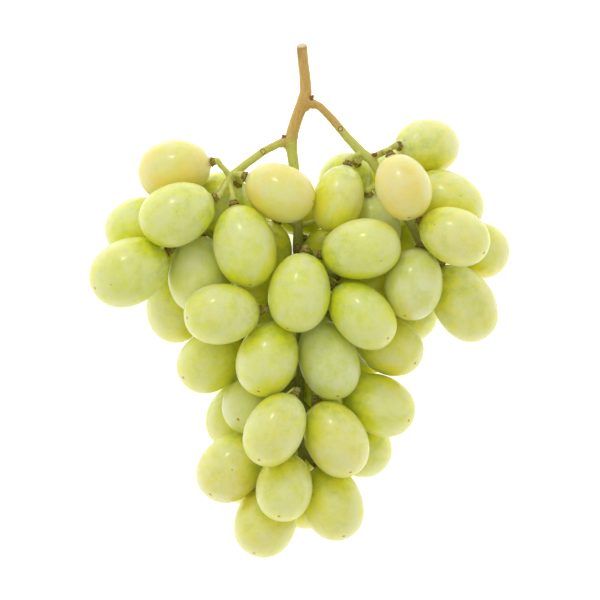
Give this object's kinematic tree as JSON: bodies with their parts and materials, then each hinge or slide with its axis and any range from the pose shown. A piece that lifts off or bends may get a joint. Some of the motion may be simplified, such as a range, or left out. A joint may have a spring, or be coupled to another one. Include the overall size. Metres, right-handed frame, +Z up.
{
  "type": "bunch of grapes",
  "caption": "Bunch of pale green table grapes: oval fruit crowded round a branching woody stem with a cut end, lying on its back.",
  "frame": {"origin": "on the surface that the bunch lies on, under the middle of its bounding box", "axes": "+X to the shoulder with the long side branch, +Y along the bunch to the cut end of the stem, +Z up, out of the side that the picture shows"},
  "size_m": [0.149, 0.1818, 0.0667],
  "materials": {
    "grape_green": "pale yellow-green grape skin, translucent, satin under a thin waxy bloom, faint green mottling at the stalk end",
    "grape_amber": "riper grape skin, warmer yellow with a faint amber blush, translucent, satin",
    "grape_bloom": "grape skin under a thicker whitish waxy bloom, grey-green, softer gloss",
    "stem": "matte stem, woody tan near the cut end, turning yellow-green down the branches, brown collars at the grapes"
  },
  "bodies": {
    "root": {"stem": "stem", "grape_left_01": "grape_amber", "grape_left_02": "grape_green", "grape_left_03": "grape_green", "grape_left_04": "grape_green", "grape_left_05": "grape_bloom", "grape_left_06": "grape_green", "grape_left_07": "grape_green", "grape_left_08": "grape_amber", "grape_left_09": "grape_green", "grape_left_10": "grape_green", "grape_left_11": "grape_green", "grape_right_01": "grape_green", "grape_right_02": "grape_green", "grape_right_03": "grape_amber", "grape_right_04": "grape_bloom", "grape_right_05": "grape_green", "grape_right_06": "grape_green", "grape_right_07": "grape_green", "grape_right_08": "grape_green", "grape_right_09": "grape_green", "grape_right_10": "grape_green", "grape_right_11": "grape_bloom", "grape_right_12": "grape_green", "grape_front_01": "grape_green", "grape_front_02": "grape_green", "grape_front_03": "grape_green", "grape_front_04": "grape_green", "grape_front_05": "grape_green", "grape_front_06": "grape_bloom", "grape_front_07": "grape_green", "grape_front_08": "grape_green", "grape_front_09": "grape_green", "grape_front_10": "grape_green", "grape_front_11": "grape_green", "grape_front_12": "grape_green", "grape_front_13": "grape_bloom", "grape_front_14": "grape_green", "grape_front_15": "grape_green", "grape_tip_01": "grape_green", "grape_tip_02": "grape_green", "grape_tip_03": "grape_green", "grape_tip_04": "grape_green", "grape_tip_05": "grape_green", "grape_inner_01": "grape_green", "grape_inner_02": "grape_green", "grape_inner_03": "grape_green", "grape_back_01": "grape_green", "grape_back_02": "grape_green", "grape_back_03": "grape_green", "grape_back_04": "grape_green", "grape_back_05": "grape_green", "grape_back_06": "grape_green", "grape_back_07": "grape_green", "grape_back_08": "grape_green", "grape_back_09": "grape_green", "grape_back_10": "grape_green", "grape_back_11": "grape_green", "grape_back_12": "grape_green"}
  },
  "joints": []
}
